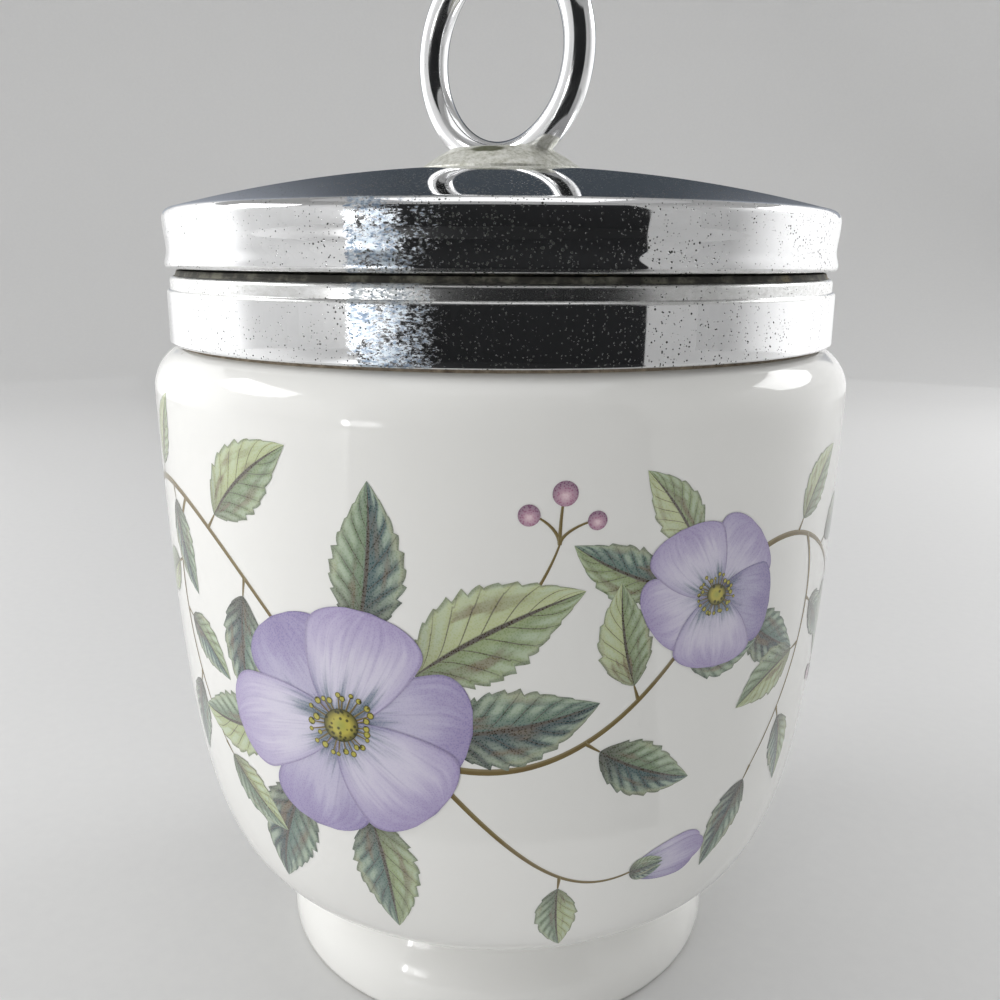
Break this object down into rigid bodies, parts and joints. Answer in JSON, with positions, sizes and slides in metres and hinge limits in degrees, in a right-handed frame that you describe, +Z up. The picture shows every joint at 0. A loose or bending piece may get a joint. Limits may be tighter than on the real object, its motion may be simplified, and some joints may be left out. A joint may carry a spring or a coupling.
{
  "type": "egg coddler",
  "caption": "Porcelain egg cup on a foot ring, with a chrome-plated screw collar round its neck and a domed screw lid lifted by a round loop.",
  "frame": {"origin": "centre of the foot ring, on the surface that it stands on", "axes": "+Z up along the cup's own axis; the lifting loop lies in the XZ plane when the lid is screwed home"},
  "size_m": [0.077, 0.077, 0.1146],
  "materials": {
    "porcelain": "glossy clear glaze over white porcelain",
    "chrome_plate": "polished plating with fine pits",
    "plain_steel": "unpolished",
    "solder": "dull grey, as it ran",
    "cement": "matt"
  },
  "bodies": {
    "cup": {"cup": "porcelain", "collar_cement": "cement", "collar": "chrome_plate"},
    "washer": {"rivet_washer": "plain_steel"},
    "lid": {"lid_cap": "chrome_plate", "lid_thread_ring": "plain_steel", "loop_boss": "chrome_plate", "lifting_loop": "chrome_plate", "loop_solder": "solder", "loop_rivet": "plain_steel"}
  },
  "joints": [
    {"name": "lid_rise", "type": "slide", "parent": "cup", "child": "washer", "axis": [0, 0, 1], "range_m": [0, 0.009]},
    {"name": "lid_turn", "type": "hinge", "parent": "washer", "child": "lid", "pos_m": [0, 0, 0.09], "axis": [0, 0, 1], "range_deg": [0, 1080]}
  ],
  "couplings": [
    {"joint": "lid_rise", "follows": "lid_turn", "m_per_rad": 0.00047746}
  ]
}
